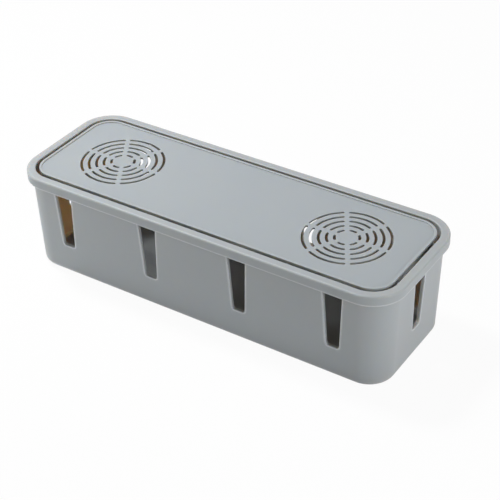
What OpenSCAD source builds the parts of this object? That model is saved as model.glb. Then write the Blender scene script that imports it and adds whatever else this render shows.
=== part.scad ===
// Cable management box for a desk: a moulded box with a rolled rim and cable slots,
// a vented lid that drops in flush with the rim, and four foot pads.
// Millimetres. X runs along the box, -Y is the front, +Z is up.
// The origin is the centre of the footprint, on the surface that the pads stand on.

/* [Overall size] */
// Length over the rim
rim_l = 267; // [240:1:320]
// Depth over the rim
rim_w = 93; // [84:1:130]
// Height from the surface below the pads to the top of the rim
total_h = 70; // [60:1:100]

/* [Rim] */
// Corner radius of the rim, seen from above
rim_r = 22; // [19:0.5:28]
// Height of the outer band that hangs from the rim
band_h = 7.1; // [5:0.1:9]
// Thickness of the band
band_t = 1.7; // [1.4:0.1:2.2]
// Thickness of the rim's flat top
rim_t = 2.2; // [1.6:0.1:3]
// How far the band stands out past the wall, at the band's lower edge
overhang = 3.4; // [2.8:0.1:4.5]
// Radius of the rim's outer top edge
rim_edge_r = 1.2; // [0.6:0.1:2.4]
// Radius of the band's lower outer edge
lip_r = 1.1; // [0.3:0.1:1.2]
// Radius of the rim's inner top edge, beside the lid
mouth_r = 0.7; // [0.3:0.1:1.2]

/* [Walls and floor] */
// Wall thickness
wall_t = 2.4; // [1.8:0.1:3]
// Draft of the walls, in degrees from upright
draft = 1.8; // [0.5:0.1:3]
// Floor thickness
floor_t = 2.3; // [1.6:0.1:3.5]
// Radius of the outer edge between wall and floor
base_edge_r = 3.5; // [2:0.1:5]
// Radius of the inner corner between wall and floor
inner_edge_r = 2; // [1:0.1:3]

/* [Cable slots] */
// Number of slots along the front, and along the back
slots_long = 4; // [2:1:4]
// Distance from the rim's end to the middle of the first slot
slot_inset = 36.9; // [33:0.1:60]
// Width of a slot at the band's lower edge
slot_top_w = 12.7; // [10:0.1:15]
// Width of a slot at its lower end
slot_bottom_w = 8.8; // [6:0.1:9.8]
// Height of a slot's lower end above the surface below the pads
slot_sill = 22.9; // [12:0.1:35]
// Radius of a slot's two lower corners
slot_r = 2; // [0.5:0.1:2.8]
// How far a slot runs up behind the band
slot_behind = 1.6; // [0.5:0.1:2]

/* [Lid] */
// Gap between the lid and the rim, all round
lid_gap = 2.3; // [1.2:0.1:3]
// Thickness of the lid's panel
panel_t = 1.4; // [1.2:0.1:3]
// Height of the raised bead round the lid's edge
bead_h = 0.7; // [0.4:0.1:1.2]
// Width of the bead
bead_w = 1.6; // [1.4:0.1:3]
// Radius of the bead's two top edges
bead_r = 0.3; // [0.2:0.1:0.5]
// Depth of the locating wall under the lid
guide_h = 6; // [2:0.5:8]
// Thickness of the locating wall
guide_t = 1.3; // [1:0.1:2]
// Clearance between the locating wall and the ribs in the box
guide_gap = 0.3; // [0.2:0.1:0.6]

/* [Vents] */
// Distance from the rim's end to the middle of a vent
vent_inset = 51.9; // [45:0.1:80]
// Number of rings of openings in a vent
vent_rings = 5; // [2:1:5]
// Radius of the middle of the smallest ring
vent_first_r = 7.4; // [6:0.1:9]
// Distance from one ring to the next
vent_pitch = 4.68; // [3.5:0.02:4.8]
// Width of an opening
vent_w = 1.7; // [1.2:0.1:2.2]
// Number of spokes that cross the rings
vent_spokes = 6; // [3:1:6]
// Width of a spoke
spoke_w = 2.5; // [1.6:0.1:3]

/* [Ribs that carry the lid] */
// Thickness of a rib
rib_t = 1.8; // [1.2:0.1:2.4]
// How far the lid's edge reaches over a rib
rib_seat = 2.2; // [1.4:0.1:3]
// Distance from a rounded corner's end to the rib in the end wall
rib_inset = 2.5; // [1:0.5:8]

/* [Foot pads] */
// Length of a pad
pad_l = 22.5; // [10:0.5:30]
// Depth of a pad
pad_w = 9; // [5:0.5:14]
// Thickness of a pad
pad_h = 1.2; // [0.8:0.1:3]
// Corner radius of a pad
pad_r = 1.5; // [0.5:0.1:2.4]
// Distance from the rim's end to the middle of a pad
pad_inset = 73.75; // [50:0.25:100]

/* [Hidden] */
$fn = 96;
shell_grey = [0.61, 0.63, 0.64];
pad_grey = [0.50, 0.52, 0.53];
// How far a cutting shape runs past the face that it cuts
past = 1;
// How far an arc reaches past the face that it rounds off, so that the two cross cleanly
bite = 0.01;

// The rim, walls and lid share their corner centres,
// so below u is the distance outwards from the corner centre to a face.
corner_x = rim_l / 2 - rim_r;
corner_y = rim_w / 2 - rim_r;
lip_z = total_h - band_h;
floor_z = pad_h + floor_t;
// u of the wall's outer and inner face at height z, to a thousandth of a millimetre
function thousandths(v) = round(v * 1000) / 1000;
function wall_out(z) = thousandths(rim_r - overhang - (lip_z - z) * tan(draft));
function wall_in(z) = thousandths(wall_out(z) - wall_t / cos(draft));

mouth_u = wall_in(total_h - mouth_r);
lid_u = mouth_u - lid_gap;
panel_z = total_h - bead_h;
seat_z = panel_z - panel_t;
rib_u = lid_u - rib_seat;
guide_u = rib_u - guide_gap;
slot_top = lip_z + slot_behind;
slot_pitch = (rim_l - 2 * slot_inset) / (slots_long - 1);
pad_y = corner_y + wall_out(pad_h) - base_edge_r - pad_w / 2;

// Region from u = 0 out to a side that leans outwards by angle a and passes through [u0, z0],
// from z0 up to z1, with its lower corner rounded to radius r
module leaning_region(u0, z0, z1, a, r) {
    centre_u = u0 + r * tan(a) - r / cos(a);
    polygon([
        [0, z0],
        [centre_u, z0],
        [centre_u + (r - bite) * cos(a), z0 + r - (r - bite) * sin(a)],
        [u0 + (z1 - z0) * tan(a), z1],
        [0, z1]
    ]);
    translate([centre_u, z0 + r]) circle(r);
}

// Upright region from u0 to u1 whose top edges are rounded to radius r, on the outside or on both sides
module round_top(u0, u1, z0, z1, r, both = false) {
    left = both ? u0 + r : u0;
    translate([u0, z0]) square([u1 - u0, z1 - z0 - r]);
    translate([left, z0]) square([u1 - r - left, z1 - z0]);
    translate([u1 - r, z1 - r]) circle(r);
    if (both) translate([left, z1 - r]) circle(r);
}

// Carries a section in u and z round the rounded rectangle, and fills the middle from z0 to z1
module carry_round(z0, z1) {
    for (side = [0, 1]) mirror([side, 0, 0]) for (face = [0, 1]) mirror([0, face, 0]) {
        translate([corner_x, corner_y, 0]) rotate_extrude(angle = 90) children();
    }
    for (side = [0, 1]) mirror([side, 0, 0]) translate([corner_x, 0, 0])
        rotate([90, 0, 0]) linear_extrude(2 * corner_y, center = true) children();
    for (face = [0, 1]) mirror([0, face, 0]) translate([0, corner_y, 0])
        rotate([90, 0, 90]) linear_extrude(2 * corner_x, center = true) children();
    translate([-corner_x, -corner_y, z0]) cube([2 * corner_x, 2 * corner_y, z1 - z0]);
}

// Section of the rim and the band that hangs from it, with a rounded lower edge
module rim_section() {
    difference() {
        round_top(0, rim_r, lip_z + lip_r, total_h, rim_edge_r);
        translate([0, lip_z]) square([rim_r - band_t, band_h - rim_t]);
    }
    translate([rim_r - band_t, lip_z]) square([band_t - lip_r, lip_r]);
    translate([rim_r - lip_r, lip_z + lip_r]) intersection() {
        circle(lip_r);
        translate([0, -lip_r]) square(lip_r);
    }
}

// Waste that rounds the rim's inner top edge
module mouth_edge() {
    translate([mouth_u - bite, total_h - mouth_r]) difference() {
        translate([-past, 0]) square([past + mouth_r, mouth_r + past]);
        translate([mouth_r, 0]) circle(mouth_r);
    }
}

// Section of the box: floor, leaning wall, rim and band
module box_section() {
    difference() {
        union() {
            leaning_region(wall_out(pad_h), pad_h, total_h - rim_t, draft, base_edge_r);
            rim_section();
        }
        leaning_region(wall_in(floor_z), floor_z, total_h + past, draft, inner_edge_r);
        mouth_edge();
    }
}

// Outline of a slot, wider at the top, seen square to its wall
module slot_outline() {
    lean = atan((slot_top_w - slot_bottom_w) / 2 / (lip_z - slot_sill));
    for (side = [0, 1]) mirror([side, 0]) leaning_region(slot_bottom_w / 2, slot_sill, slot_top, lean, slot_r);
}

// Cuts one slot through a wall, from the inside to just short of the band
module slot_cut(corner) {
    cut_from = corner + wall_in(slot_sill) - past;
    cut_to = corner + rim_r - band_t;
    translate([0, -cut_from, 0]) rotate([90, 0, 0]) linear_extrude(cut_to - cut_from) slot_outline();
}

// Upright rib inside a wall, whose top carries the lid's edge
module rib(corner) {
    function middle(z) = wall_in(z) + wall_t / 2;
    foot_z = floor_z - floor_t / 2;
    translate([-rib_t / 2, -corner, 0]) rotate([90, 0, 90]) linear_extrude(rib_t) mirror([1, 0]) polygon([
        [rib_u, foot_z],
        [middle(floor_z), foot_z],
        [middle(seat_z), seat_z],
        [rib_u, seat_z]
    ]);
}

module box() {
    color(shell_grey) {
        difference() {
            carry_round(pad_h, floor_z) box_section();
            for (turn = [0, 180]) rotate(turn) {
                for (i = [0 : slots_long - 1]) {
                    translate([(i - (slots_long - 1) / 2) * slot_pitch, 0, 0]) slot_cut(corner_y);
                }
                rotate(90) slot_cut(corner_x);
            }
        }
        // A rib stands midway between each two slots, and beside each rounded corner in the end walls
        for (turn = [0, 180]) rotate(turn) {
            for (i = [1 : slots_long - 1]) translate([(i - slots_long / 2) * slot_pitch, 0, 0]) rib(corner_y);
            for (side = [-1, 1]) rotate(90) translate([side * (corner_y - rib_inset), 0, 0]) rib(corner_x);
        }
    }
}

// Section of the lid: panel, raised bead and the locating wall below
module lid_section() {
    translate([0, seat_z]) square([lid_u - bead_w / 2, panel_t]);
    round_top(lid_u - bead_w, lid_u, seat_z, total_h, bead_r, true);
    translate([guide_u - guide_t, seat_z - guide_h]) square([guide_t, guide_h + panel_t / 2]);
}

// One curved opening of a vent, with round ends, between two spokes
module vent_opening(r) {
    half = 180 / vent_spokes - asin((spoke_w + vent_w) / 2 / r);
    reach = 2 * r;
    intersection() {
        difference() {
            circle(r + vent_w / 2);
            circle(r - vent_w / 2);
        }
        polygon([[0, 0], reach * [cos(half), -sin(half)], [2 * reach, 0], reach * [cos(half), sin(half)]]);
    }
    for (side = [-1, 1]) rotate(side * half) translate([r, 0]) circle(vent_w / 2 + bite, $fn = 24);
}

module vent_cut() {
    translate([0, 0, seat_z - past]) linear_extrude(panel_t + 2 * past) {
        for (ring = [0 : vent_rings - 1]) for (k = [0 : vent_spokes - 1]) {
            rotate((k + 0.5) * 360 / vent_spokes) vent_opening(vent_first_r + ring * vent_pitch);
        }
    }
}

module lid() {
    color(shell_grey) difference() {
        carry_round(seat_z, panel_z) lid_section();
        for (side = [-1, 1]) translate([side * (rim_l / 2 - vent_inset), 0, 0]) vent_cut();
    }
}

// One pad under the box, left (-1) or right (1), front (-1) or back (1)
module foot_pad(side, face) {
    color(pad_grey) translate([side * (rim_l / 2 - pad_inset), face * pad_y, 0]) linear_extrude(pad_h) {
        square([pad_l - 2 * pad_r, pad_w], center = true);
        square([pad_l, pad_w - 2 * pad_r], center = true);
        for (x = [-1, 1]) for (y = [-1, 1]) {
            translate([x * (pad_l / 2 - pad_r), y * (pad_w / 2 - pad_r)]) circle(pad_r, $fn = 32);
        }
    }
}

box();
lid();
foot_pad(-1, -1);  // foot_pad_front_left
foot_pad(1, -1);  // foot_pad_front_right
foot_pad(-1, 1);  // foot_pad_back_left
foot_pad(1, 1);  // foot_pad_back_right
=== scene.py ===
"""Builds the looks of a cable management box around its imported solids.

Everything is in metres, in the solids' own frame: X runs along the box, -Y is the front and Z is up.
"""

import math

import bmesh
import bpy
from bpy.props import FloatProperty, FloatVectorProperty, IntProperty, PointerProperty
from mathutils import Matrix, Vector


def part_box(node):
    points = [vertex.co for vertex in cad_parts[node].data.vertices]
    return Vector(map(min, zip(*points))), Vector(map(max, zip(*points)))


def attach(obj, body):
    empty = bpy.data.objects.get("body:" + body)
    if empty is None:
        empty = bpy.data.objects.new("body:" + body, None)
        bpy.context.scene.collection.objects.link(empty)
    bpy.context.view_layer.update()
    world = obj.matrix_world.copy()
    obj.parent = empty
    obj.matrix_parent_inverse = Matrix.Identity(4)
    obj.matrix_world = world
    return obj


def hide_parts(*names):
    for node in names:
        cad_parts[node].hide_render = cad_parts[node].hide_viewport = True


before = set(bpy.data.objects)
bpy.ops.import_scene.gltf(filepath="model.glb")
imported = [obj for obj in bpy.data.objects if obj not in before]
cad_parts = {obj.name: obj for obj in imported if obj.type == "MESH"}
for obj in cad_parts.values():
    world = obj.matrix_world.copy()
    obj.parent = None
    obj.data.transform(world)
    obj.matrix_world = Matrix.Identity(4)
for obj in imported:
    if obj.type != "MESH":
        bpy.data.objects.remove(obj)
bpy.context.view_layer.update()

bl_info = {
    "name": "Cable management box",
    "version": (1, 0, 0),
    "blender": (4, 5, 0),
    "location": "View3D > Sidebar > Cable box",
    "description": "Makes a moulded cable box with a vented lift-off lid, and a plain studio to show it in",
    "category": "Add Mesh",
}

MM = 0.001
BOX_LOW, BOX_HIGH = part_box("box")
LID_LOW, LID_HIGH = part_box("lid")
EDGE_STEPS = 2
# How far a slot's cut stops short of the band's inner face
SLOT_CLEARANCE = 0.4 * MM
# Share of the wall's thickness that a rib's outer face is sunk into the wall
RIB_SUNK = 0.1
# How far a vent's cut runs past the panel's two faces
CUT_PAST = 0.5 * MM
# Half the straight length of a vent's opening before it is bent onto its ring
HALF_BLANK = 4 * MM
# How far the lid's section runs on inside the bead, so that the bead's foot is rounded too
BEAD_FOOT = 2 * MM
PAD_CORNER = 1.5 * MM
PAD_SOFT_EDGE = 0.25 * MM
# Painted highlight on edges: how quickly an edge turns pale, and how much more in patches
HIGHLIGHT_GAIN = 30
HIGHLIGHT_PATCHES = 15
# Share of the painted edge highlight that is left on the edges of the rim's top and the lid
HIGHLIGHT_ON_TOP = 0.12
# Painted shade in creases and narrow openings: how dark it gets, and how quickly
PAINTED_SHADE_SHARE = 0.75
PAINTED_SHADE_FALL = 1.3
PADS = ["foot_pad_front_left", "foot_pad_front_right", "foot_pad_back_left", "foot_pad_back_right"]


def length(name, description, default):
    """A size in metres that a user may change."""
    return FloatProperty(name=name, description=description, default=default, min=0, unit="LENGTH", precision=5)


def colour(name, description, default):
    """A colour that a user may change."""
    return FloatVectorProperty(name=name, description=description, default=default, size=3, min=0, max=1,
                               subtype="COLOR")


class BoxSizes(bpy.types.PropertyGroup):
    """Sizes of the box: its rim, walls, floor, slots and ribs."""

    rim_radius: length("Rim corner radius", "Corner radius of the rim, seen from above", 22 * MM)
    band_height: length("Band height", "Height of the band that hangs from the rim", 7.1 * MM)
    band_thickness: length("Band thickness", "Thickness of the hanging band", 1.7 * MM)
    rim_thickness: length("Rim thickness", "Thickness of the rim's flat top", 2.2 * MM)
    overhang: length("Overhang", "How far the band stands out past the wall", 3.4 * MM)
    rim_edge: length("Rim edge radius", "Radius of the rim's outer top edge", 1.2 * MM)
    lip_edge: length("Lip radius", "Radius of the band's lower outer edge", 1.1 * MM)
    mouth_edge: length("Mouth radius", "Radius of the rim's inner top edge", 0.7 * MM)
    wall: length("Wall thickness", "Thickness of the walls", 2.4 * MM)
    draft: FloatProperty(name="Draft", description="How far the walls lean out from upright",
                         default=math.radians(1.8), min=0, unit="ROTATION")
    floor: length("Floor thickness", "Thickness of the floor", 2.3 * MM)
    base_edge: length("Base radius", "Radius of the outer edge between wall and floor", 3.5 * MM)
    inner_edge: length("Inner radius", "Radius of the inner corner between wall and floor", 2 * MM)
    slots: IntProperty(name="Slots in a row", description="Cable slots along the front, and along the back",
                       default=4, min=2)
    slot_inset: length("Slot inset", "From the rim's end to the middle of the first slot", 36.9 * MM)
    slot_top: length("Slot top width", "Width of a slot at the band's lower edge", 12.7 * MM)
    slot_bottom: length("Slot bottom width", "Width of a slot at its lower end", 8.8 * MM)
    slot_sill: length("Slot sill", "Height of a slot's lower end", 22.9 * MM)
    slot_radius: length("Slot radius", "Radius of a slot's two lower corners", 2 * MM)
    slot_behind: length("Slot behind band", "How far a slot runs up behind the band", 1.6 * MM)
    rib: length("Rib thickness", "Thickness of a rib that carries the lid", 1.8 * MM)
    rib_seat: length("Rib seat", "How far the lid's edge reaches over a rib", 2.2 * MM)
    rib_inset: length("Rib inset", "From a rounded corner's end to the rib in the end wall", 2.5 * MM)
    soft_edge: length("Soft edge", "Radius of the small edges that a mould leaves", 0.3 * MM)


class LidSizes(bpy.types.PropertyGroup):
    """Sizes of the lid: its panel, bead, locating wall and vents."""

    gap: length("Gap", "Gap between the lid and the rim", 2.3 * MM)
    panel: length("Panel thickness", "Thickness of the lid's panel", 1.4 * MM)
    bead_height: length("Bead height", "Height of the raised bead round the edge", 0.7 * MM)
    bead_width: length("Bead width", "Width of the bead", 1.6 * MM)
    bead_edge: length("Bead radius", "Radius of the bead's two top edges", 0.3 * MM)
    guide: length("Guide thickness", "Thickness of the locating wall under the lid", 1.3 * MM)
    guide_gap: length("Guide clearance", "Clearance between the locating wall and the ribs", 0.3 * MM)
    vent_inset: length("Vent inset", "From the rim's end to the middle of a vent", 51.9 * MM)
    rings: IntProperty(name="Rings", description="Rings of openings in a vent", default=5, min=1)
    first_ring: length("First ring radius", "Radius of the middle of the smallest ring", 7.4 * MM)
    ring_pitch: length("Ring pitch", "Distance from one ring to the next", 4.68 * MM)
    opening: length("Opening width", "Width of an opening", 1.7 * MM)
    spokes: IntProperty(name="Spokes", description="Spokes that cross the rings", default=6, min=3)
    spoke: length("Spoke width", "Width of a spoke", 2.5 * MM)
    soft_edge: length("Soft edge", "Radius of the small edges that a mould leaves", 0.2 * MM)


class Finishes(bpy.types.PropertyGroup):
    """Colours and surface values of the two finishes."""

    plastic: colour("Plastic", "Colour of the box and the lid", (0.385, 0.405, 0.42))
    plastic_light: colour("Plastic, lighter", "Where the moulded surface is a shade lighter", (0.4, 0.42, 0.435))
    # Painted highlight: the next three values paint edges pale
    plastic_painted_highlight: colour("Plastic, painted highlight", "Where edges get a painted highlight", (0.66, 0.67, 0.675))
    highlight_reach: length("Painted edge highlight", "How far from an edge the painted highlight reaches", 2.2 * MM)
    highlight_full_below: length("Full highlight below", "From the band's lower edge down, the painted edge highlight is full", 64.2 * MM)
    # Painted shade: the next two values paint creases and narrow openings dark
    plastic_painted_shade: colour("Plastic, painted shade", "Painted shade in creases and narrow openings", (0.1, 0.1, 0.1))
    painted_shade_reach: length("Painted shade reach", "How far from a crease the painted shade reaches", 8 * MM)
    glow: colour("Light through the wall", "How far each colour of light gets into the plastic", (1, 0.45, 0.17))
    glow_depth: length("Glow depth", "How far light gets into the plastic", 30 * MM)
    pad: colour("Pad", "Colour of the foot pads", (0.25, 0.26, 0.27))
    pad_light: colour("Pad, lighter", "Lighter cells of the foam", (0.32, 0.33, 0.34))


class StudioSizes(bpy.types.PropertyGroup):
    """Where the camera and the lamps stand."""

    azimuth: FloatProperty(name="Azimuth", description="Camera's direction, from the front towards the right",
                           default=math.radians(33.72), unit="ROTATION")
    elevation: FloatProperty(name="Elevation", description="Camera's height over the horizon, as an angle",
                             default=math.radians(35.19), unit="ROTATION")
    roll: FloatProperty(name="Roll", description="Turn of the camera about its own axis",
                        default=math.radians(-1.37), unit="ROTATION")
    distance: length("Distance", "From the camera to the middle of the box", 844.4 * MM)
    aim_right: FloatProperty(name="Aim right", description="How far right of the box's middle the camera aims",
                             default=11.48 * MM, unit="LENGTH")
    aim_up: FloatProperty(name="Aim up", description="How far above the box's middle the camera aims",
                          default=-3.8 * MM, unit="LENGTH")
    lens: FloatProperty(name="Lens", description="Focal length in millimetres for a 36 mm sensor", default=97.76)


class Wire:
    """An output of a node that can take part in plain arithmetic."""

    def __init__(self, graph, socket):
        self.graph = graph
        self.socket = socket

    def other(self, name):
        """Another output of the same node."""
        return Wire(self.graph, self.socket.node.outputs[name])

    def math(self, operation, *values):
        """The result of a Math node with this wire as its first value."""
        return self.graph.add("ShaderNodeMath", {"operation": operation}, dict(enumerate((self, *values))))

    def __add__(self, value):
        return self.math("ADD", value)

    __radd__ = __add__

    def __mul__(self, value):
        return self.math("MULTIPLY", value)

    __rmul__ = __mul__

    def __sub__(self, value):
        return self.math("SUBTRACT", value)

    def __rsub__(self, value):
        return (self * -1) + value

    def __truediv__(self, value):
        return self.math("DIVIDE", value)

    def __rtruediv__(self, value):
        return self.math("POWER", -1) * value


class Graph:
    """Adds nodes to a node tree and links them."""

    def __init__(self, tree):
        self.tree = tree

    def add(self, kind, settings=None, inputs=None, output=0):
        """Adds a node, makes its settings, gives its sockets values or wires, and returns one of its outputs."""
        node = self.tree.nodes.new(kind)
        for name, value in (settings or {}).items():
            if name == "stops":
                self.set_stops(node.color_ramp, value)
            else:
                setattr(node, name, value)
        for key, value in (inputs or {}).items():
            self.feed(node.inputs[key], value)
        return Wire(self, node.outputs[output]) if len(node.outputs) else None

    def feed(self, socket, value):
        """Gives a socket a value, a wire or several wires."""
        if isinstance(value, Wire):
            self.tree.links.new(value.socket, socket)
        elif isinstance(value, list):
            for wire in value:
                self.tree.links.new(wire.socket, socket)
        else:
            socket.default_value = value

    def set_stops(self, ramp, stops):
        """Sets a colour ramp's stops, each a place and a grey value."""
        while len(ramp.elements) < len(stops):
            ramp.elements.new(1)
        for element, (place, grey) in zip(ramp.elements, stops):
            element.position = place
            element.color = (grey, grey, grey, 1)

    def vector(self, x=0, y=0, z=0):
        """A vector put together from three values or wires."""
        return self.add("ShaderNodeCombineXYZ", None, {"X": x, "Y": y, "Z": z})


def arc(centre_u, centre_z, radius, start, end, steps):
    """Points along an arc of a section, from one angle in degrees to another."""
    angles = [math.radians(start + (end - start) * i / steps) for i in range(steps + 1)]
    return [(centre_u + radius * math.cos(a), centre_z + radius * math.sin(a)) for a in angles]


def rounded(points, radius, steps=3):
    """The same section with its sharp corners rounded."""
    result = [points[0]]
    for before, corner, after in zip(points, points[1:], points[2:]):
        corner = Vector(corner)
        inwards, onwards = (Vector(before) - corner).normalized(), (Vector(after) - corner).normalized()
        half = inwards.angle(onwards) / 2
        if half > math.radians(75):
            result.append(tuple(corner))
            continue
        centre = corner + (inwards + onwards).normalized() * radius / math.sin(half)
        start = corner + inwards * radius / math.tan(half) - centre
        end = corner + onwards * radius / math.tan(half) - centre
        turn = start.angle_signed(end)
        for step in range(steps + 1):
            result.append(tuple(centre + Matrix.Rotation(-turn * step / steps, 2) @ start))
    return result + [points[-1]]


def swept_shell(name, section, corner_x, corner_y, corner_steps=24):
    """Carries a section round a rounded rectangle and closes its two ends.

    A section's point is its distance outwards from the corner's centre, and its height.
    """
    stations = []
    for quarter, (x, y) in enumerate([(1, 1), (-1, 1), (-1, -1), (1, -1)]):
        for step in range(corner_steps + 1):
            angle = math.pi / 2 * (quarter + step / corner_steps)
            stations.append((x * corner_x, y * corner_y, math.cos(angle), math.sin(angle)))
    mesh = bmesh.new()
    rows = [[mesh.verts.new((x + u * c, y + u * s, z)) for u, z in section] for x, y, c, s in stations]
    for row, after in zip(rows, rows[1:] + rows[:1]):
        for i in range(len(section) - 1):
            mesh.faces.new((row[i], after[i], after[i + 1], row[i + 1]))
    for end in (0, -1):
        mesh.faces.new([row[end] for row in rows])
    bmesh.ops.recalc_face_normals(mesh, faces=mesh.faces)
    data = bpy.data.meshes.new(name)
    mesh.to_mesh(data)
    mesh.free()
    piece = bpy.data.objects.new(name, data)
    bpy.context.scene.collection.objects.link(piece)
    return piece


def corner_centre(sizes):
    """How far the centres of the rounded corners lie from the middle, along X and along Y."""
    return BOX_HIGH.x - sizes.rim_radius, BOX_HIGH.y - sizes.rim_radius


def wall_face(sizes, z, inside):
    """Distance from a corner's centre to the wall's inner or outer face at a height."""
    lip = BOX_HIGH.z - sizes.band_height
    outer = sizes.rim_radius - sizes.overhang - (lip - z) * math.tan(sizes.draft)
    return outer - sizes.wall / math.cos(sizes.draft) if inside else outer


def lower_corner(sizes, base, radius, inside, steps):
    """Arc between a level face at height base and the leaning wall, from the level face outwards."""
    lean = math.degrees(sizes.draft)
    at = wall_face(sizes, base, inside) + radius * math.tan(sizes.draft) - radius / math.cos(sizes.draft)
    return arc(at, base + radius, radius, -90, -lean, steps)


def box_section(sizes):
    """The box's section, from the floor's inside over the rim to the underside."""
    top = BOX_HIGH.z
    lip = top - sizes.band_height
    below_rim = top - sizes.rim_thickness
    mouth = wall_face(sizes, top - sizes.mouth_edge, True)
    outside = sizes.rim_radius
    points = lower_corner(sizes, BOX_LOW.z + sizes.floor, sizes.inner_edge, True, 6)
    points += arc(mouth + sizes.mouth_edge, top - sizes.mouth_edge, sizes.mouth_edge, 180, 90, 5)
    points += arc(outside - sizes.rim_edge, top - sizes.rim_edge, sizes.rim_edge, 90, 0, 9)
    points += arc(outside - sizes.lip_edge, lip + sizes.lip_edge, sizes.lip_edge, 0, -90, 6)
    points += [
        (outside - sizes.band_thickness, lip),
        (outside - sizes.band_thickness, below_rim),
        (wall_face(sizes, below_rim, False), below_rim),
    ]
    points += reversed(lower_corner(sizes, BOX_LOW.z, sizes.base_edge, False, 9))
    return rounded(points, sizes.soft_edge)


def lid_edge(box_sizes, lid_sizes):
    """Distance from a corner's centre to the lid's outer edge."""
    return wall_face(box_sizes, BOX_HIGH.z - box_sizes.mouth_edge, True) - lid_sizes.gap


def lid_section(box_sizes, sizes):
    """The lid's section, from the underside round the locating wall and the bead to the top."""
    top = LID_HIGH.z
    panel_top = top - sizes.bead_height
    seat = panel_top - sizes.panel
    edge = lid_edge(box_sizes, sizes)
    guide = edge - box_sizes.rib_seat - sizes.guide_gap
    inside = edge - sizes.bead_width
    points = [
        (guide - 2 * sizes.guide, seat),
        (guide - sizes.guide, seat),
        (guide - sizes.guide, LID_LOW.z),
        (guide, LID_LOW.z),
        (guide, seat),
        (edge, seat),
    ]
    points += arc(edge - sizes.bead_edge, top - sizes.bead_edge, sizes.bead_edge, 0, 90, 5)
    points += arc(inside + sizes.bead_edge, top - sizes.bead_edge, sizes.bead_edge, 90, 180, 5)
    points += [(inside, panel_top), (inside - BEAD_FOOT, panel_top)]
    return rounded(points, sizes.soft_edge)


def new_tree(name, inputs):
    """A geometry tree with named inputs, its graph and a wire for each input."""
    tree = bpy.data.node_groups.new(name, "GeometryNodeTree")
    tree.interface.new_socket("Geometry", in_out="INPUT", socket_type="NodeSocketGeometry")
    tree.interface.new_socket("Geometry", in_out="OUTPUT", socket_type="NodeSocketGeometry")
    for label, value in inputs.items():
        kind = "NodeSocketInt" if isinstance(value, int) else "NodeSocketFloat"
        tree.interface.new_socket(label, in_out="INPUT", socket_type=kind)
    graph = Graph(tree)
    start = graph.add("NodeGroupInput")
    return tree, graph, start.other("Geometry"), {label: start.other(label) for label in inputs}


def finish_tree(graph, shape, material):
    """Ends a tree: what it made is realized, shaded smooth and given its material."""
    shape = graph.add("GeometryNodeRealizeInstances", None, {"Geometry": shape})
    shape = graph.add("GeometryNodeSetShadeSmooth", None, {"Geometry": shape})
    shape = graph.add("GeometryNodeSetMaterial", None, {"Geometry": shape, "Material": material})
    graph.add("NodeGroupOutput", None, {"Geometry": shape})


def run_tree(piece, tree, inputs):
    """Puts a tree on a piece and sets its named inputs."""
    modifier = piece.modifiers.new(tree.name, "NODES")
    modifier.node_group = tree
    for item in tree.interface.items_tree:
        if item.in_out == "INPUT" and item.name in inputs:
            modifier[item.identifier] = inputs[item.name]


def soften(piece, radius):
    """Rounds the sharp edges that the cuts leave."""
    bevel = piece.modifiers.new("Soft edges", "BEVEL")
    bevel.width = radius
    bevel.segments = 2
    bevel.limit_method = "ANGLE"
    bevel.angle_limit = math.radians(35)
    bevel.use_clamp_overlap = False


def flatten(piece):
    """Keeps flat faces flat in the shading, beside their rounded edges."""
    normals = piece.modifiers.new("Flat faces", "WEIGHTED_NORMAL")
    normals.mode = "FACE_AREA_WITH_ANGLE"


def settle(piece):
    """Turns what the modifiers make into the piece's plain mesh, and takes them off."""
    bpy.context.view_layer.update()
    seen = bpy.context.evaluated_depsgraph_get()
    mesh = bpy.data.meshes.new_from_object(piece.evaluated_get(seen), preserve_all_data_layers=True, depsgraph=seen)
    piece.modifiers.clear()
    piece.data = mesh


def slot_cutter(graph, wires, reach):
    """A bar with a slot's tapered outline that cuts through two facing walls, lying along Y."""
    outline = graph.add("GeometryNodeCurvePrimitiveQuadrilateral", {"mode": "TRAPEZOID"}, {
        "Height": wires["Slot height"],
        "Bottom Width": wires["Slot bottom width"],
        "Top Width": wires["Slot top width"],
        "Offset": 0.0,
    })
    lower = graph.add("GeometryNodeInputIndex").math("GREATER_THAN", 1.5)
    outline = graph.add("GeometryNodeFilletCurve", {"mode": "POLY"}, {
        "Curve": outline,
        "Count": 8,
        "Radius": lower * wires["Slot radius"],
    })
    line = graph.add("GeometryNodeCurvePrimitiveLine", None, {
        "Start": graph.vector(y=reach * -1),
        "End": graph.vector(y=reach),
    })
    bar = graph.add("GeometryNodeCurveToMesh", None, {"Curve": line, "Profile Curve": outline, "Fill Caps": True})
    return graph.add("GeometryNodeTransform", None, {
        "Geometry": bar,
        "Translation": graph.vector(z=wires["Slot middle"]),
        "Rotation": (0, math.pi, 0),
    })


def row_of(graph, shape, count, pitch, y=0):
    """Copies of a shape in a row along X, centred on the middle."""
    line = graph.add("GeometryNodeMeshLine", None, {
        "Count": count,
        "Start Location": graph.vector(x=(count - 1) * pitch * -0.5, y=y),
        "Offset": graph.vector(x=pitch),
    })
    return graph.add("GeometryNodeInstanceOnPoints", None, {"Points": line, "Instance": shape})


def turned(graph, shape, angle):
    """A shape turned about Z."""
    return graph.add("GeometryNodeTransform", None, {"Geometry": shape, "Rotation": (0, 0, angle)})


def joined(graph, shapes):
    """Several shapes as one, with their copies realized."""
    shape = graph.add("GeometryNodeJoinGeometry", None, {"Geometry": shapes})
    return graph.add("GeometryNodeRealizeInstances", None, {"Geometry": shape})


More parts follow.
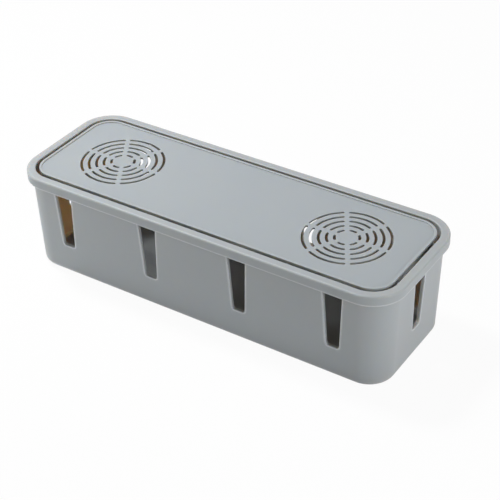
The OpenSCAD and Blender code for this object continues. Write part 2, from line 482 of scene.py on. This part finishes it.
def rib_row(graph, wires, corner, count, pitch):
    """Two facing rows of ribs, standing in the walls along X, whose outer faces lean as the wall does."""
    depth = wires["Rib outer face"] - wires["Rib inner face"]
    blank = graph.add("GeometryNodeMeshCube", None, {
        "Size": graph.vector(wires["Rib thickness"], depth, wires["Rib height"]),
    })
    place = graph.add("ShaderNodeSeparateXYZ", None, {0: graph.add("GeometryNodeInputPosition")})
    outer = place.other("Y").math("GREATER_THAN", 0)
    lean = outer * (place.other("Z") - wires["Rib height"] * 0.5) * wires["Wall lean"]
    blank = graph.add("GeometryNodeSetPosition", None, {"Geometry": blank, "Offset": graph.vector(y=lean)})
    blank = graph.add("GeometryNodeTransform", None, {
        "Geometry": blank,
        "Translation": graph.vector(
            y=corner + (wires["Rib outer face"] + wires["Rib inner face"]) * 0.5, z=wires["Rib middle"]
        ),
    })
    row = row_of(graph, blank, count, pitch)
    return [row, turned(graph, row, math.pi)]


def box_tree(inputs, material):
    """Cuts the cable slots into the box and stands the ribs in its walls."""
    tree, graph, shell, wires = new_tree("Slots and ribs", inputs)
    ribs = rib_row(graph, wires, wires["Corner Y"], wires["Slots"] - 1, wires["Slot pitch"])
    end_ribs = rib_row(graph, wires, wires["Corner X"], 2, wires["End rib span"])
    ribs += [turned(graph, shape, math.pi / 2) for shape in end_ribs]
    solid = graph.add("GeometryNodeMeshBoolean", {"operation": "UNION", "solver": "MANIFOLD"}, {
        "Mesh 2": [shell, joined(graph, ribs)],
    })
    long_bar = slot_cutter(graph, wires, wires["Corner Y"] + wires["Slot reach"])
    end_bar = slot_cutter(graph, wires, wires["Corner X"] + wires["Slot reach"])
    bars = [row_of(graph, long_bar, wires["Slots"], wires["Slot pitch"]), turned(graph, end_bar, math.pi / 2)]
    for bar in bars:
        solid = graph.add("GeometryNodeMeshBoolean", {"operation": "DIFFERENCE", "solver": "MANIFOLD"}, {
            "Mesh 1": solid,
            "Mesh 2": [joined(graph, [bar])],
        })
    finish_tree(graph, solid, material)
    return tree


def lid_tree(inputs, material):
    """Cuts two vents into the lid: round-ended openings in rings, crossed by spokes.

    Each opening starts as one straight blank and is then bent onto its ring.
    """
    tree, graph, lid, wires = new_tree("Vents", inputs)
    width = wires["Opening width"]
    half_blank = wires["Half blank"]
    outline = graph.add("GeometryNodeCurvePrimitiveQuadrilateral", {"mode": "RECTANGLE"}, {
        "Width": 2 * half_blank + width,
        "Height": width,
    })
    outline = graph.add("GeometryNodeFilletCurve", {"mode": "POLY"}, {
        "Curve": outline,
        "Count": 8,
        "Radius": width * 0.5,
        "Limit Radius": True,
    })
    outline = graph.add("GeometryNodeResampleCurve", {"mode": "COUNT"}, {"Curve": outline, "Count": 56})
    blank, top = graph.add("GeometryNodeFillCurve", {"mode": "NGONS"}, {"Curve": outline}), True
    face = graph.add("GeometryNodeFlipFaces", None, {"Mesh": blank})
    edge = wires["Edge radius"]
    turns = [math.pi / 2 * step / EDGE_STEPS for step in range(EDGE_STEPS + 1)]
    depths = [edge * (math.cos(turn) - math.cos(after)) for turn, after in zip(turns, turns[1:])]
    for depth in [wires["Past"], *depths, wires["Panel"] - 2 * edge, *reversed(depths), wires["Past"]]:
        blank = graph.add("GeometryNodeExtrudeMesh", {"mode": "FACES"}, {
            "Mesh": blank,
            "Selection": top,
            "Offset": (0.0, 0.0, 1.0),
            "Offset Scale": depth,
            "Individual": False,
        })
        top = blank.other("Top")
    blank = graph.add("GeometryNodeJoinGeometry", None, {"Geometry": [blank, face]})
    blank = graph.add("GeometryNodeMergeByDistance", None, {"Geometry": blank, "Distance": 0.001 * MM})

    index = graph.add("GeometryNodeInputIndex")
    ring = (index / wires["Spokes"]).math("FLOOR")
    places = graph.add("GeometryNodePoints", None, {"Count": wires["Rings"] * wires["Spokes"]})
    for label, value in {
        "ring_radius": wires["First ring radius"] + ring * wires["Ring pitch"],
        "turn": (index.math("MODULO", wires["Spokes"]) + 0.5) * (2 * math.pi) / wires["Spokes"],
    }.items():
        places = graph.add("GeometryNodeStoreNamedAttribute", {"data_type": "FLOAT", "domain": "POINT"}, {
            "Geometry": places,
            "Name": label,
            "Value": value,
        })
    blanks = graph.add("GeometryNodeInstanceOnPoints", None, {"Points": places, "Instance": blank})
    blanks = graph.add("GeometryNodeRealizeInstances", None, {"Geometry": blanks})

    radius, turn = [
        graph.add("GeometryNodeInputNamedAttribute", {"data_type": "FLOAT"}, {"Name": label}, "Attribute")
        for label in ("ring_radius", "turn")
    ]
    place = graph.add("ShaderNodeSeparateXYZ", None, {0: graph.add("GeometryNodeInputPosition")})
    height = place.other("Z")
    depth = (height - wires["Past"]).math("MINIMUM", wires["Past"] + wires["Panel"] - height)
    short = edge - depth.math("MAXIMUM", 0).math("MINIMUM", edge)
    flare = 1 + (edge - (edge * edge - short * short).math("SQRT")) / (width * 0.5)
    along = (place / half_blank).math("MINIMUM", 1).math("MAXIMUM", -1)
    spoke_angle = ((wires["Spoke width"] + width) * 0.5 / radius).math("ARCSINE")
    half_angle = math.pi / wires["Spokes"] - spoke_angle
    angle = turn - along * half_angle - flare * (place - along * half_blank) / radius
    out = radius + flare * place.other("Y")
    bent = graph.vector(out * angle.math("COSINE"), out * angle.math("SINE"), height)
    blanks = graph.add("GeometryNodeSetPosition", None, {"Geometry": blanks, "Position": bent})

    vents = [
        graph.add("GeometryNodeTransform", None, {
            "Geometry": blanks,
            "Translation": graph.vector(x=wires["Vent X"] * side, z=wires["Cut bottom"]),
        })
        for side in (-1, 1)
    ]
    lid = graph.add("GeometryNodeMeshBoolean", {"operation": "DIFFERENCE", "solver": "MANIFOLD"}, {
        "Mesh 1": lid,
        "Mesh 2": [joined(graph, vents)],
    })
    finish_tree(graph, lid, material)
    return tree


def new_material(name):
    """A material with an empty tree, its graph and Object coordinates."""
    material = bpy.data.materials.new(name)
    material.use_nodes = True
    material.node_tree.nodes.clear()
    graph = Graph(material.node_tree)
    return material, graph, graph.add("ShaderNodeTexCoord", output="Object")


def noise(graph, coords, size, detail=2.0, roughness=0.5):
    """Noise whose features are about this large, in metres."""
    return graph.add("ShaderNodeTexNoise", None, {
        "Vector": coords, "Scale": 1 / size, "Detail": detail, "Roughness": roughness,
    })


def blend_of(graph, factor, first, second):
    """A colour between two, by a factor."""
    return graph.add("ShaderNodeMix", {"data_type": "RGBA"}, {0: factor, 6: (*first, 1), 7: (*second, 1)}, 2)


def plastic_material(look):
    """Matt moulded polypropylene, which lets a little warm light through its walls."""
    material, graph, coords = new_material("moulded_grey_plastic")
    flow = noise(graph, coords, 45 * MM, 3.0)
    cloud = noise(graph, coords, 9 * MM, 2.0)
    grain = noise(graph, coords, 0.45 * MM, 1.0, 0.6)
    tone = flow * 0.6 + cloud * 0.3 + grain * 0.1
    height = grain * 0.5 + cloud * 1.4
    # Painted highlight: edges, where the Bevel node's rounded normal turns away from the true normal, are painted
    # pale, fully from the band's lower edge down and only partly above it
    rounded_off = graph.add("ShaderNodeBevel", {"samples": 6}, {"Radius": look.highlight_reach})
    along = graph.add("ShaderNodeVectorMath", {"operation": "DOT_PRODUCT"}, {
        0: rounded_off, 1: graph.add("ShaderNodeNewGeometry", output="Normal"),
    }, "Value")
    height_here = graph.add("ShaderNodeSeparateXYZ", None, {0: coords}).other("Z")
    low_down = height_here.math("LESS_THAN", look.highlight_full_below)
    highlight_strength = ((1 - along) * (HIGHLIGHT_GAIN + cloud * HIGHLIGHT_PATCHES)).math("MINIMUM", 1)
    painted_highlight = highlight_strength * (HIGHLIGHT_ON_TOP + low_down * (1 - HIGHLIGHT_ON_TOP))
    # Painted shade: creases and narrow openings, where local ambient occlusion finds little open sky, are painted
    # dark
    open_sky = graph.add("ShaderNodeAmbientOcclusion", {"samples": 6, "only_local": True}, {
        "Distance": look.painted_shade_reach,
    }, "AO")
    painted_shade_amount = (1 - open_sky).math("POWER", PAINTED_SHADE_FALL) * PAINTED_SHADE_SHARE
    colour_here = graph.add("ShaderNodeMix", {"data_type": "RGBA"}, {
        # The painted edge highlight goes over the moulded tone
        0: painted_highlight, 6: blend_of(graph, tone, look.plastic, look.plastic_light), 7: (*look.plastic_painted_highlight, 1),
    }, 2)
    colour_here = graph.add("ShaderNodeMix", {"data_type": "RGBA"}, {
        0: painted_shade_amount, 6: colour_here, 7: (*look.plastic_painted_shade, 1),
    }, 2)
    bump = graph.add("ShaderNodeBump", None, {"Strength": 0.25, "Distance": 0.05 * MM, "Height": height})
    surface = graph.add("ShaderNodeBsdfPrincipled", None, {
        "Base Color": colour_here,
        "Roughness": 0.36 + flow * 0.1 + grain * 0.06,
        "IOR": 1.49,
        "Subsurface Weight": 0.2,
        "Subsurface Radius": tuple(look.glow),
        "Subsurface Scale": look.glow_depth,
        "Normal": bump,
    })
    graph.add("ShaderNodeOutputMaterial", None, {"Surface": surface})
    return material


def pad_material(look):
    """Soft foam rubber with fine open cells."""
    material, graph, coords = new_material("foam_rubber")
    cells = graph.add("ShaderNodeTexVoronoi", {"feature": "F1"}, {"Vector": coords, "Scale": 1 / (0.35 * MM)})
    shade = noise(graph, coords, 3 * MM)
    bump = graph.add("ShaderNodeBump", None, {"Strength": 0.5, "Distance": 0.1 * MM, "Height": cells})
    surface = graph.add("ShaderNodeBsdfPrincipled", None, {
        "Base Color": blend_of(graph, cells * 0.6 + shade * 0.4, look.pad, look.pad_light),
        "Roughness": 0.78 + shade * 0.12,
        "IOR": 1.45,
        "Normal": bump,
    })
    graph.add("ShaderNodeOutputMaterial", None, {"Surface": surface})
    return material


class CABLEBOX_OT_box(bpy.types.Operator):
    """Makes the box: floor, leaning walls, rolled rim, cable slots and ribs"""

    bl_idname = "cablebox.box"
    bl_label = "Make the box"

    def execute(self, context):
        sizes, lid = context.scene.cable_box, context.scene.cable_lid
        corner_x, corner_y = corner_centre(sizes)
        lip = BOX_HIGH.z - sizes.band_height
        slot_end = lip + sizes.slot_behind
        seat = LID_HIGH.z - lid.bead_height - lid.panel
        foot = BOX_LOW.z + sizes.floor / 2
        taper = (sizes.slot_top - sizes.slot_bottom) / (lip - sizes.slot_sill)
        inputs = {
            "Corner X": corner_x,
            "Corner Y": corner_y,
            "Slots": sizes.slots,
            "Slot pitch": 2 * (BOX_HIGH.x - sizes.slot_inset) / (sizes.slots - 1),
            "Slot height": slot_end - sizes.slot_sill,
            "Slot bottom width": sizes.slot_bottom,
            "Slot top width": sizes.slot_bottom + taper * (slot_end - sizes.slot_sill),
            "Slot middle": (slot_end + sizes.slot_sill) / 2,
            "Slot radius": sizes.slot_radius,
            "Slot reach": sizes.rim_radius - sizes.band_thickness - SLOT_CLEARANCE,
            "Rib thickness": sizes.rib,
            "Rib inner face": lid_edge(sizes, lid) - sizes.rib_seat,
            "Rib outer face": wall_face(sizes, seat, True) + RIB_SUNK * sizes.wall,
            "Rib height": seat - foot,
            "Rib middle": (seat + foot) / 2,
            "Wall lean": math.tan(sizes.draft),
            "End rib span": 2 * (corner_y - sizes.rib_inset),
        }
        piece = swept_shell("box_shell", box_section(sizes), corner_x, corner_y)
        run_tree(piece, box_tree(inputs, plastic_material(context.scene.cable_finish)), inputs)
        soften(piece, sizes.soft_edge)
        flatten(piece)
        settle(piece)
        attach(piece, "box")
        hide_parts("box")
        return {"FINISHED"}


class CABLEBOX_OT_lid(bpy.types.Operator):
    """Makes the lid: panel, raised bead, locating wall and two vents"""

    bl_idname = "cablebox.lid"
    bl_label = "Make the lid"

    def execute(self, context):
        box, sizes = context.scene.cable_box, context.scene.cable_lid
        panel_top = LID_HIGH.z - sizes.bead_height
        inputs = {
            "Rings": sizes.rings,
            "First ring radius": sizes.first_ring,
            "Ring pitch": sizes.ring_pitch,
            "Opening width": sizes.opening,
            "Half blank": HALF_BLANK,
            "Spokes": sizes.spokes,
            "Spoke width": sizes.spoke,
            "Vent X": BOX_HIGH.x - sizes.vent_inset,
            "Past": CUT_PAST,
            "Panel": sizes.panel,
            "Edge radius": sizes.soft_edge,
            "Cut bottom": panel_top - sizes.panel - CUT_PAST,
        }
        piece = swept_shell("lid_shell", lid_section(box, sizes), *corner_centre(box))
        material = bpy.data.materials.get("moulded_grey_plastic") or plastic_material(context.scene.cable_finish)
        run_tree(piece, lid_tree(inputs, material), inputs)
        flatten(piece)
        settle(piece)
        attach(piece, "lid")
        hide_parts("lid")
        return {"FINISHED"}


class CABLEBOX_OT_pads(bpy.types.Operator):
    """Makes the four foot pads, each where its solid is"""

    bl_idname = "cablebox.pads"
    bl_label = "Make the foot pads"

    def execute(self, context):
        material = pad_material(context.scene.cable_finish)
        for node in PADS:
            low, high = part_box(node)
            mesh = bmesh.new()
            size = high - low
            place = Matrix.Translation((low + high) / 2) @ Matrix.Diagonal((*size, 1))
            bmesh.ops.create_cube(mesh, size=1, matrix=place)
            upright = [e for e in mesh.edges if abs(e.verts[0].co.z - e.verts[1].co.z) > size.z / 2]
            bmesh.ops.bevel(mesh, geom=upright, offset=PAD_CORNER, segments=6, profile=0.5, affect="EDGES")
            rims = [e for e in mesh.edges if abs(e.verts[0].co.z - e.verts[1].co.z) < size.z / 10]
            bmesh.ops.bevel(mesh, geom=rims, offset=PAD_SOFT_EDGE, segments=3, profile=0.5, affect="EDGES")
            bmesh.ops.recalc_face_normals(mesh, faces=mesh.faces)
            data = bpy.data.meshes.new(node + "_foam")
            mesh.to_mesh(data)
            mesh.free()
            data.shade_smooth()
            data.set_sharp_from_angle(angle=math.radians(40))
            data.materials.append(material)
            piece = bpy.data.objects.new(node + "_foam", data)
            context.scene.collection.objects.link(piece)
            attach(piece, "box")
            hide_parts(node)
        return {"FINISHED"}


def seen_share(graph):
    """1 for what the camera sees, also in mirrors and through glass, and 0 for light on the object."""
    rays = graph.add("ShaderNodeLightPath")
    seen = rays + rays.other("Is Glossy Ray") + rays.other("Is Transmission Ray")
    return seen.math("MINIMUM", 1)


def white_shown(graph, surface, share):
    """A surface that shows partly plain white to the camera, in mirrors and through glass."""
    white = graph.add("ShaderNodeEmission", None, {"Color": (1, 1, 1, 1), "Strength": 1.0})
    return graph.add("ShaderNodeMixShader", None, {0: seen_share(graph) * share, 1: surface, 2: white})


def area_light(name, place, aim, width, height, power):
    """A rectangular soft light that faces a point."""
    lamp = bpy.data.lights.new(name, "AREA")
    lamp.shape = "RECTANGLE"
    lamp.size = width
    lamp.size_y = height
    lamp.energy = power
    light = bpy.data.objects.new(name, lamp)
    light.location = place
    light.rotation_mode = "QUATERNION"
    light.rotation_quaternion = (Vector(aim) - Vector(place)).to_track_quat("-Z", "Y")
    bpy.context.scene.collection.objects.link(light)


class CABLEBOX_OT_studio(bpy.types.Operator):
    """Makes the stage: floor, white surroundings, lamps and camera"""

    bl_idname = "cablebox.studio"
    bl_label = "Make the studio"

    def execute(self, context):
        scene = context.scene
        scene.view_settings.view_transform = "Standard"
        self.make_floor(scene)
        self.make_world(scene)
        middle = (0, 0, BOX_HIGH.z / 2)
        area_light("key", (-0.62, 0.06, 1.2), (-0.05, 0, 0), 0.2, 0.2, 13.8)
        area_light("top_left", (-0.35, 0.05, 0.4), middle, 0.3, 0.3, 0.4)
        area_light("fill_right", (0.95, -0.13, 0.33), middle, 0.35, 0.35, 4.4)
        area_light("fill_front_left", (-0.5, -0.35, 0.08), middle, 0.25, 0.25, 1)
        self.make_camera(scene, scene.cable_studio)
        return {"FINISHED"}

    def make_floor(self, scene):
        data = bpy.data.meshes.new("floor")
        mesh = bmesh.new()
        bmesh.ops.create_grid(mesh, size=4)
        mesh.to_mesh(data)
        mesh.free()
        floor = bpy.data.objects.new("floor", data)
        scene.collection.objects.link(floor)
        material, graph, coords = new_material("white_floor")
        speck = noise(graph, coords, 20 * MM)
        matt = graph.add("ShaderNodeBsdfDiffuse", None, {
            "Color": blend_of(graph, speck, (0.81, 0.81, 0.81), (0.84, 0.84, 0.84)),
        })
        graph.add("ShaderNodeOutputMaterial", None, {"Surface": white_shown(graph, matt, 0.95)})
        data.materials.append(material)

    def make_world(self, scene):
        world = bpy.data.worlds.new("white_surroundings")
        world.use_nodes = True
        world.node_tree.nodes.clear()
        graph = Graph(world.node_tree)
        soft = graph.add("ShaderNodeBackground", None, {"Color": (1, 1, 1, 1), "Strength": 0.06})
        white = graph.add("ShaderNodeBackground", None, {"Color": (1, 1, 1, 1), "Strength": 1.0})
        shown = graph.add("ShaderNodeMixShader", None, {0: seen_share(graph), 1: soft, 2: white})
        graph.add("ShaderNodeOutputWorld", None, {"Surface": shown})
        scene.world = world

    def make_camera(self, scene, studio):
        azimuth, elevation = studio.azimuth, studio.elevation
        back = Vector((
            math.sin(azimuth) * math.cos(elevation), -math.cos(azimuth) * math.cos(elevation), math.sin(elevation)
        ))
        right = Vector((math.cos(azimuth), math.sin(azimuth), 0))
        turn = Matrix((right, back.cross(right), back)).transposed().to_4x4() @ Matrix.Rotation(studio.roll, 4, "Z")
        right, up = turn.col[0].to_3d(), turn.col[1].to_3d()
        middle = Vector((0, 0, BOX_HIGH.z / 2))
        data = bpy.data.cameras.new("camera")
        data.sensor_width = 36
        data.lens = studio.lens
        data.clip_start = 0.01
        camera = bpy.data.objects.new("camera", data)
        aim = middle + right * studio.aim_right + up * studio.aim_up
        camera.matrix_world = Matrix.Translation(aim + back * studio.distance) @ turn
        scene.collection.objects.link(camera)
        scene.camera = camera


class CABLEBOX_PT_panel(bpy.types.Panel):
    """Lists the pieces that can be made and their sizes"""

    bl_idname = "CABLEBOX_PT_panel"
    bl_label = "Cable box"
    bl_space_type = "VIEW_3D"
    bl_region_type = "UI"
    bl_category = "Cable box"

    def draw(self, context):
        groups = {
            "cable_box": CABLEBOX_OT_box,
            "cable_lid": CABLEBOX_OT_lid,
            "cable_finish": CABLEBOX_OT_pads,
            "cable_studio": CABLEBOX_OT_studio,
        }
        for group, operator in groups.items():
            box = self.layout.box()
            box.operator(operator.bl_idname)
            values = getattr(context.scene, group)
            for name in values.__annotations__:
                box.prop(values, name)


CLASSES = [
    BoxSizes, LidSizes, Finishes, StudioSizes,
    CABLEBOX_OT_box, CABLEBOX_OT_lid, CABLEBOX_OT_pads, CABLEBOX_OT_studio, CABLEBOX_PT_panel,
]
GROUPS = {"cable_box": BoxSizes, "cable_lid": LidSizes, "cable_finish": Finishes, "cable_studio": StudioSizes}


def register():
    for item in CLASSES:
        bpy.utils.register_class(item)
    for name, group in GROUPS.items():
        setattr(bpy.types.Scene, name, PointerProperty(type=group))


def unregister():
    for name in GROUPS:
        delattr(bpy.types.Scene, name)
    for item in reversed(CLASSES):
        bpy.utils.unregister_class(item)


def main():
    """Makes every piece and the studio."""
    register()
    bpy.ops.cablebox.box()
    bpy.ops.cablebox.lid()
    bpy.ops.cablebox.pads()
    bpy.ops.cablebox.studio()


if __name__ == "__main__":
    main()
